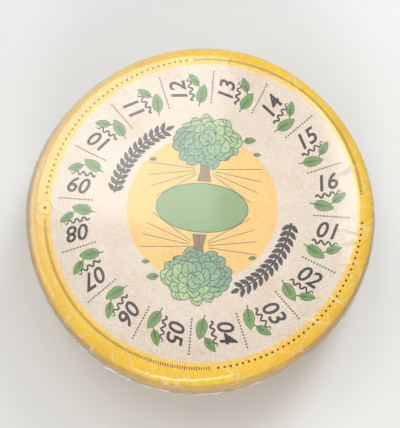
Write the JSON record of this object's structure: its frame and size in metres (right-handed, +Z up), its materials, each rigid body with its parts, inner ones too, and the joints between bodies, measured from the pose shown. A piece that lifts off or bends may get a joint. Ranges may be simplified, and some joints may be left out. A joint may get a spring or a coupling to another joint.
{
  "type": "cheese wheel",
  "caption": "Whole round cheese with a barrel side and rounded shoulders, a printed paper disc on top and a clear film wrap sealed round the side.",
  "frame": {"origin": "middle of the underside, on the surface that the wheel stands on", "axes": "+Z up through the middle of the wheel; the label is stuck about 4 mm off centre towards +X, and the top of its print faces +Y"},
  "size_m": [0.3052, 0.3052, 0.08],
  "materials": {
    "rind": "dry natural rind, yellow-tan with browner shoulders",
    "label_paper": "uncoated paper printed in yellow, green and dark grey",
    "clear_film": "clear glossy shrink film with fine wrinkles"
  },
  "bodies": {
    "root": {"cheese_wheel": "rind", "top_label": "label_paper", "film_upper": "clear_film", "film_lower": "clear_film"}
  },
  "joints": []
}
